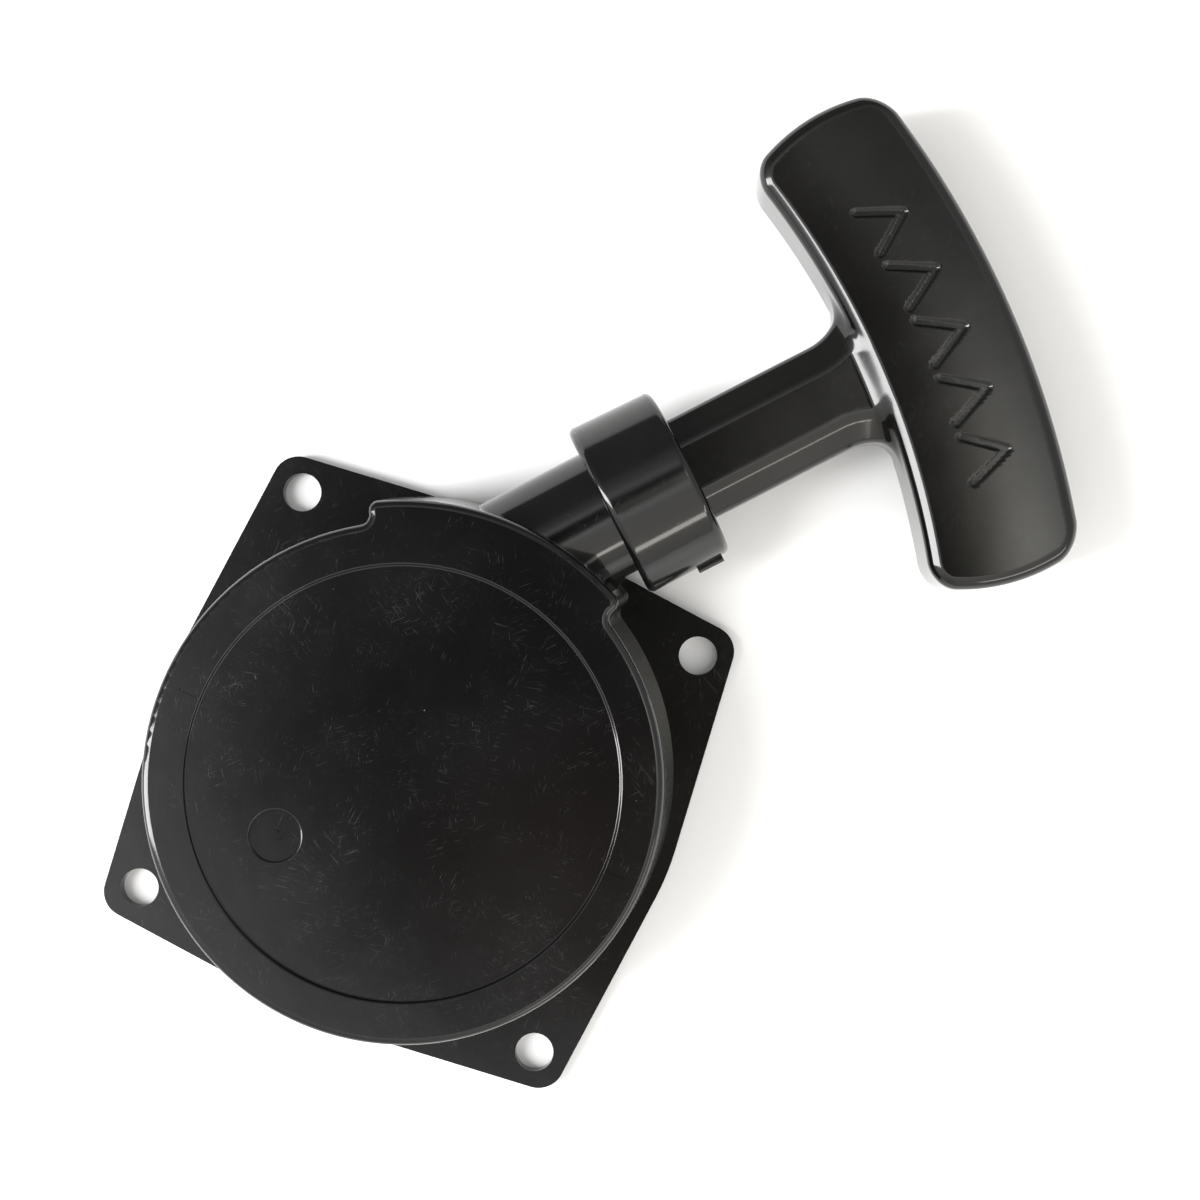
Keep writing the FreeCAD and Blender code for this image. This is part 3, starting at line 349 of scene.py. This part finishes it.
class Stem:
    """The grip's eight-sided stem, in millimetres."""
    start = 55.3
    half_width = 9.0
    half_thick = 7.6
    chamfer_wide = 4.3
    chamfer_high = 3.2
    soft = 0.7
    flare = 9.5
    blend = 2.2
    end_soft = 0.8
    into_bar = 8.0
    web_reach = 21.0


class Chevron:
    """Arrowheads engraved in the bar's top, in millimetres."""
    count = 5
    spacing = 10.3
    tip = 153.2
    arm = 7.6
    lean = math.radians(31.0)
    half_stroke = 0.65
    depth = 0.42
    slope = 0.3


class Bore:
    """Rope's way through the grip, in millimetres: a hole with a flared mouth, and the knot's pocket."""
    hole = 2.3
    mouth = 2.0
    pocket = 6.6
    floor = 108.0
    overlap = 1.0
    soft = 0.3


def rounded_overlap(a, b, radius):
    """Distance to where two shapes overlap, with their meeting edge rounded."""
    inside = np.minimum(np.maximum(a + radius, b + radius), 0.0)
    return inside + np.hypot(np.maximum(a + radius, 0.0), np.maximum(b + radius, 0.0)) - radius


def rounded_join(a, b, radius):
    """Distance to two shapes together, with a fillet where they meet."""
    outside = np.maximum(np.minimum(a - radius, b - radius), 0.0)
    return outside - np.hypot(np.minimum(a - radius, 0.0), np.minimum(b - radius, 0.0)) + radius


def smooth_step(x):
    x = np.clip(x, 0.0, 1.0)
    return x * x * (3.0 - 2.0 * x)


def chevron_depth(radius, along):
    """Depth of the engraving at a place on the bar's top: radius from its centre and distance along it."""
    index = np.clip(np.round(along / Chevron.spacing), -(Chevron.count // 2), Chevron.count // 2)
    side = np.abs(along - index * Chevron.spacing)
    back = Chevron.tip - radius
    cos, sin = math.cos(Chevron.lean), math.sin(Chevron.lean)
    share = np.clip(back * cos + side * sin, 0.0, Chevron.arm)
    distance = np.hypot(back - share * cos, side - share * sin)
    return Chevron.depth * smooth_step((Chevron.half_stroke + Chevron.slope - distance) / (2 * Chevron.slope))


def bar_distance(x, y, z):
    dx, dy = x - Bar.centre_x, y - Bar.centre_y
    radius = np.hypot(dx, dy)
    along = Bar.middle * (np.arctan2(dy, dx) - Bar.turn)
    band = np.abs(radius - Bar.middle) - (Bar.outer - Bar.inner) / 2
    local_x = dx * math.cos(Bar.turn) + dy * math.sin(Bar.turn) - (Bar.middle - Bar.end_back)
    local_y = dy * math.cos(Bar.turn) - dx * math.sin(Bar.turn)
    ends = np.hypot(local_x, local_y - np.clip(local_y, -Bar.end_reach, Bar.end_reach)) - Bar.end_round
    plan = rounded_overlap(band, ends, Bar.corner)
    across = (radius - Bar.middle) / ((Bar.outer - Bar.inner) / 2)
    crown = Bar.crown * across * across
    cut = chevron_depth(radius, along) * (z > ROPE_Z)
    height = np.abs(z - ROPE_Z) - Bar.half_thick + crown + cut
    return rounded_overlap(plan, height, Bar.edge)


def stem_distance(x, y, z):
    side = np.abs(y - ROPE_Y)
    face = Bar.inner + Stem.blend - np.hypot(x - Bar.centre_x, y - Bar.centre_y)
    plan = rounded_join(side - Stem.half_width, face, Stem.flare)
    height = np.abs(z - ROPE_Z) - Stem.half_thick
    slant = math.hypot(Stem.chamfer_wide, Stem.chamfer_high)
    chamfer = (plan * Stem.chamfer_high + (height + Stem.chamfer_high) * Stem.chamfer_wide) / slant
    section = rounded_overlap(rounded_overlap(plan, height, Stem.soft), chamfer, Stem.soft)
    limits = np.maximum(-face - Stem.into_bar, side - Stem.web_reach)
    return np.maximum(rounded_overlap(section, Stem.start - x, Stem.end_soft), limits)


def grip_distance(x, y, z):
    """Signed distance, near enough, to the whole grip: negative inside."""
    body = rounded_join(bar_distance(x, y, z), stem_distance(x, y, z), Stem.blend)
    axial = np.hypot(y - ROPE_Y, z - ROPE_Z)
    hole_radius = Bore.hole + np.clip(Stem.start + Bore.mouth - x, 0.0, Bore.mouth)
    bore = np.maximum(axial - hole_radius, x - Bore.floor - Bore.overlap)
    pocket = np.maximum(axial - Bore.pocket, Bore.floor - x)
    return rounded_overlap(body, -np.minimum(bore, pocket), Bore.soft)


def settle_on_surface(points, distance):
    """Move points along the slope of a distance function until they lie on its surface; gives their normals."""
    step = 0.02
    least_slope = 0.3
    longest_move = 0.2
    rounds = 4
    normal = None
    for _ in range(rounds):
        value = distance(*points.T)
        slopes = []
        for axis in range(3):
            offset = np.zeros(3)
            offset[axis] = step
            slopes.append((distance(*(points + offset).T) - distance(*(points - offset).T)) / (2 * step))
        gradient = np.stack(slopes, axis=1)
        size = np.maximum(np.linalg.norm(gradient, axis=1), least_slope)
        normal = gradient / size[:, None]
        points = points - np.clip(value / size, -longest_move, longest_move)[:, None] * normal
    return points, normal


def mesh_from_distance(name, distance, low, high, cell):
    """Quad mesh of a signed distance function given in millimetres."""
    band = 3 * cell
    axes = [np.arange(a, b, cell) for a, b in zip(low, high)]
    x, y, z = np.meshgrid(*axes, indexing="ij", sparse=True)
    field = np.broadcast_to(distance(x, y, z), [len(axis) for axis in axes]).astype(np.float32)
    grid = openvdb.FloatGrid()
    grid.background = band
    grid.copyFromArray(np.clip(field, -band, band))
    points, quads = grid.convertToQuads(0.0)
    points = points.astype(float) * cell + np.array([axis[0] for axis in axes])
    points, normals = settle_on_surface(points, distance)
    mesh = bpy.data.meshes.new(name)
    mesh.from_pydata((points * MM).tolist(), [], quads.tolist())
    mesh.validate()
    mesh.polygons.foreach_set("use_smooth", [True] * len(mesh.polygons))
    mesh.normals_split_custom_set_from_vertices(normals.tolist())
    piece = bpy.data.objects.new(name, mesh)
    bpy.context.scene.collection.objects.link(piece)
    return piece


def make_grip():
    """T-grip with webs, crowned bar and engraved chevrons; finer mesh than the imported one."""
    low, high = (54.0, -19.0, 4.5), (125.0, 69.0, 26.5)
    cell = 0.37
    grip = mesh_from_distance("grip_moulding", grip_distance, low, high, cell)
    grip.data.materials.append(MATERIALS["grip_plastic"])
    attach(grip, "grip")
    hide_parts("grip")


make_grip()


# ---------------------------------------------------------------- rope

class Braid:
    """Braided cord: strands each way round, and how deep the furrows between them are."""
    strands = 8
    furrow = 0.09


def tube_frames(points):
    """Direction and two cross directions at each point, carried along without twist."""
    ahead = np.gradient(points, axis=0)
    ahead /= np.linalg.norm(ahead, axis=1)[:, None]
    start = np.cross(ahead[0], (0.0, 0.0, 1.0))
    side = start / np.linalg.norm(start)
    sides = []
    for direction in ahead:
        side = side - direction * side.dot(direction)
        side = side / np.linalg.norm(side)
        sides.append(side)
    sides = np.array(sides)
    return sides, np.cross(ahead, sides)


def braided_tube(name, points, radius, pitch, around):
    """Mesh of a braided cord along points in millimetres; pitch is how far a strand takes to go round."""
    points = np.asarray(points, float)
    sides, tops = tube_frames(points)
    steps = np.linalg.norm(np.diff(points, axis=0), axis=1)
    travelled = np.concatenate([[0.0], np.cumsum(steps)])[:, None]
    angles = np.arange(around) * 2 * math.pi / around
    wound = 2 * math.pi * travelled / pitch
    one_way = np.abs(np.cos(Braid.strands / 2 * (angles - wound)))
    other_way = np.abs(np.cos(Braid.strands / 2 * (angles + wound)))
    thickness = radius * (1.0 - Braid.furrow * (1.0 - np.maximum(one_way, other_way)))
    number = np.round(Braid.strands / 2 * (angles - wound) / math.pi) % Braid.strands
    tracer = (number == 0) & (one_way >= other_way)
    ring = np.cos(angles)[None, :, None] * sides[:, None, :] + np.sin(angles)[None, :, None] * tops[:, None, :]
    surface = points[:, None, :] + thickness[:, :, None] * ring
    rows = len(points)
    index = np.arange(rows * around).reshape(rows, around)
    faces = []
    for i in range(rows - 1):
        for k in range(around):
            beside = (k + 1) % around
            corners = (index[i, k], index[i + 1, k], index[i + 1, beside], index[i, beside])
            faces.append(tuple(int(corner) for corner in corners))
    faces.append(tuple(int(k) for k in index[0]))
    faces.append(tuple(int(k) for k in index[-1][::-1]))
    mesh = bpy.data.meshes.new(name)
    mesh.from_pydata((surface.reshape(-1, 3) * MM).tolist(), [], faces)
    builder = bmesh.new()
    builder.from_mesh(mesh)
    bmesh.ops.recalc_face_normals(builder, faces=builder.faces)
    builder.to_mesh(mesh)
    builder.free()
    mesh.polygons.foreach_set("use_smooth", [True] * len(mesh.polygons))
    attribute = mesh.attributes.new("tracer", "FLOAT", "POINT")
    attribute.data.foreach_set("value", tracer.ravel().astype(np.float32))
    mesh.materials.append(MATERIALS["rope"])
    piece = bpy.data.objects.new(name, mesh)
    bpy.context.scene.collection.objects.link(piece)
    return piece


class Winding:
    """Rope on the reel: layers from the inside, turns side by side in each, in millimetres."""
    radii = (17.8, 21.1, 24.3)
    turns = 2
    spacing = 3.6
    shift = 0.16


def winding_points(step):
    """Points from the knot's layer outwards, ending where the rope leaves the reel along +X."""
    total = len(Winding.radii) * Winding.turns
    count = int(total * 2 * math.pi * Winding.radii[1] / step)
    places = []
    for layer, radius in enumerate(Winding.radii):
        heights = [ROPE_Z - Winding.spacing / 2, ROPE_Z + Winding.spacing / 2]
        places += [(radius, height) for height in (heights if layer % 2 == 0 else heights[::-1])]
    places.append((ROPE_Y, ROPE_Z))
    points = []
    for k in range(count + 1):
        turn = min(k * total / count, total - 1e-6)
        place, share = int(turn), turn - int(turn)
        blend = float(smooth_step((share - 1.0 + Winding.shift) / Winding.shift))
        radius = places[place][0] * (1 - blend) + places[place + 1][0] * blend
        height = places[place][1] * (1 - blend) + places[place + 1][1] * blend
        angle = math.pi / 2 + 2 * math.pi * (total - turn)
        points.append((radius * math.cos(angle), radius * math.sin(angle), height))
    return points


def make_rope_winding():
    step = 0.8
    lay = 9.0
    winding = braided_tube("rope_winding", winding_points(step), ROPE_RADIUS, lay, around=16)
    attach(winding, "reel")
    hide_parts("rope_coil")


def make_rope_line():
    """Rope from the reel to the grip, with its braid packed tight."""
    into_knot = 1.0
    rows = 560
    packed_lay = 2.6
    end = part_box("grip_knot")[0].x / MM + into_knot
    points = [(x, ROPE_Y, ROPE_Z) for x in np.linspace(0.0, end, rows)]
    line = braided_tube("rope_line", points, ROPE_RADIUS, packed_lay, around=24)
    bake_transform(line)
    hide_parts("rope_run")


def overhand_knot(name, node, body, reach, depth, radius, upright):
    """A drawn-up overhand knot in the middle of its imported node."""
    gap = 0.1
    rows = 140
    lay = 5.0
    low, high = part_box(node)
    middle = np.array((low + high) / 2) / MM
    points = []
    for t in np.linspace(gap, 2 * math.pi, rows):
        u = reach * (math.sin(t) + 2 * math.sin(2 * t)) / 3
        v = reach * (math.cos(t) - 2 * math.cos(2 * t)) / 3
        w = -depth * math.sin(3 * t)
        points.append(middle + np.array((u, v, w) if upright else (w, u, v)))
    piece = braided_tube(name, points, radius, lay, around=20)
    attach(piece, body)
    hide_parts(node)


make_rope_winding()
make_rope_line()
overhand_knot("knot_in_grip", "grip_knot", "rope_end", 3.5, 1.3, 1.5, False)
overhand_knot("knot_in_reel", "reel_knot", "reel", 1.45, 0.6, 0.85, True)


# ---------------------------------------------------------------- floor, light and camera

def make_floor():
    """Pale floor, a hair below the object's lowest face."""
    size = 8.0
    gap = 0.05 * MM
    mesh = bpy.data.meshes.new("floor")
    builder = bmesh.new()
    bmesh.ops.create_grid(builder, x_segments=1, y_segments=1, size=size)
    builder.to_mesh(mesh)
    builder.free()
    floor = bpy.data.objects.new("floor", mesh)
    floor.location = (0.03, 0.01, cad_bounds[0][2] - gap)
    bpy.context.scene.collection.objects.link(floor)
    material, tree, shader = new_material("floor_paper")
    vector = object_coordinates(tree)
    shade = ramp(tree, noise(tree, vector, 6.0, 2.0), [(0.3, 0.90), (0.7, 0.92)])
    tree.links.new(shade, shader.inputs["Base Color"])
    shader.inputs["Roughness"].default_value = 0.9
    mesh.materials.append(material)


def area_light(name, place, aim, size, power, tint=(1.0, 1.0, 1.0)):
    data = bpy.data.lights.new(name, "AREA")
    data.shape = "RECTANGLE"
    data.size, data.size_y = size
    data.energy = power
    data.color = tint
    light = bpy.data.objects.new(name, data)
    light.location = place
    light.rotation_euler = (Vector(aim) - Vector(place)).to_track_quat("-Z", "Y").to_euler()
    bpy.context.scene.collection.objects.link(light)


# Soft panels of the studio as lobes: direction from the object, sharpness, strength, tint.
LOBES = (
    ((0.17, -0.075, 0.98), 260.0, 3.2, (1.0, 0.98, 0.86)),
    ((-0.085, -0.085, 1.0), 700.0, 0.22, (1.0, 0.62, 0.42)),
    ((0.05, -0.80, 0.60), 7.0, 0.9, (1.0, 0.95, 0.80)),
    ((-0.75, 0.15, 0.62), 9.0, 1.2, (1.0, 1.0, 1.0)),
)


# Grey of the surround from 41 degrees off straight up (0) to straight up (1).
SKY_RINGS = [(0.0, 0.95), (0.70, 1.4), (0.87, 2.2), (0.92, 1.3), (0.955, 0.25), (0.98, 0.05), (1.0, 0.02)]


def make_world():
    """Studio surround: dark straight above and dim towards +Y, with a bright ring and a few soft panels."""
    world = bpy.data.worlds.new("studio")
    bpy.context.scene.world = world
    world.use_nodes = True
    tree = world.node_tree
    direction = tree.nodes.new("ShaderNodeTexCoord").outputs["Generated"]

    def along(axis):
        facing = tree.nodes.new("ShaderNodeVectorMath")
        facing.operation = "DOT_PRODUCT"
        tree.links.new(direction, facing.inputs[0])
        facing.inputs[1].default_value = Vector(axis).normalized()
        return math_node(tree, "MAXIMUM", facing.outputs["Value"], 0.0)

    cap = remap(tree, along((-0.02, -0.01, 1.0)), 0.75, 1.0, 0.0, 1.0)
    rings = ramp(tree, cap, SKY_RINGS)
    side = add_node(tree, "ShaderNodeSeparateXYZ", Vector=direction).outputs["Y"]
    shade = remap(tree, side, 0.05, 0.6, 1.0, 0.3)
    light = mix_colour(tree, shade, (0.0, 0.0, 0.0), rings)
    quarter = math_node(tree, "POWER", along((0.24, 0.14, 0.96)), 70.0)
    light = mix_colour(tree, math_node(tree, "MULTIPLY", quarter, 0.85), light, (0.12, 0.12, 0.12))
    for axis, sharpness, strength, tint in LOBES:
        lobe = math_node(tree, "MULTIPLY", math_node(tree, "POWER", along(axis), sharpness), strength)
        glow = tree.nodes.new("ShaderNodeVectorMath")
        glow.operation = "SCALE"
        glow.inputs[0].default_value = tint
        tree.links.new(lobe, glow.inputs["Scale"])
        total = tree.nodes.new("ShaderNodeVectorMath")
        tree.links.new(light, total.inputs[0])
        tree.links.new(glow.outputs["Vector"], total.inputs[1])
        light = total.outputs["Vector"]
    background = tree.nodes["Background"]
    tree.links.new(light, background.inputs["Color"])
    background.inputs["Strength"].default_value = 0.95


def make_lights():
    """Two slim strips for the bright lines along edges."""
    centre = (0.03, 0.01, 0.0)
    area_light("strip_left", (-0.62, 0.22, 0.56), centre, (0.22, 0.9), 13.0)
    area_light("strip_front", (0.25, -0.75, 0.45), centre, (0.8, 0.10), 2.0, (1.0, 0.97, 0.90))


def make_camera():
    """Nearly straight above the object, turned so that the pull direction rises to the right."""
    place = Vector((48.8, 7.4, 423.9)) * MM
    aim = Vector((41.7, 12.0, 15.0)) * MM
    pull_angle = math.radians(27.07)
    data = bpy.data.cameras.new("camera")
    data.sensor_width = 36.0
    data.lens = 73.2
    data.clip_start = 0.01
    data.clip_end = 30.0
    camera = bpy.data.objects.new("camera", data)
    back = (place - aim).normalized()
    image_up = Vector((math.sin(pull_angle), math.cos(pull_angle), 0.0))
    right = image_up.cross(back).normalized()
    up = back.cross(right)
    turn = Matrix((right, up, back)).transposed()
    camera.matrix_world = Matrix.Translation(place) @ turn.to_4x4()
    bpy.context.scene.collection.objects.link(camera)
    bpy.context.scene.camera = camera


make_floor()
make_world()
make_lights()
make_camera()
bpy.context.scene.view_settings.view_transform = "Standard"
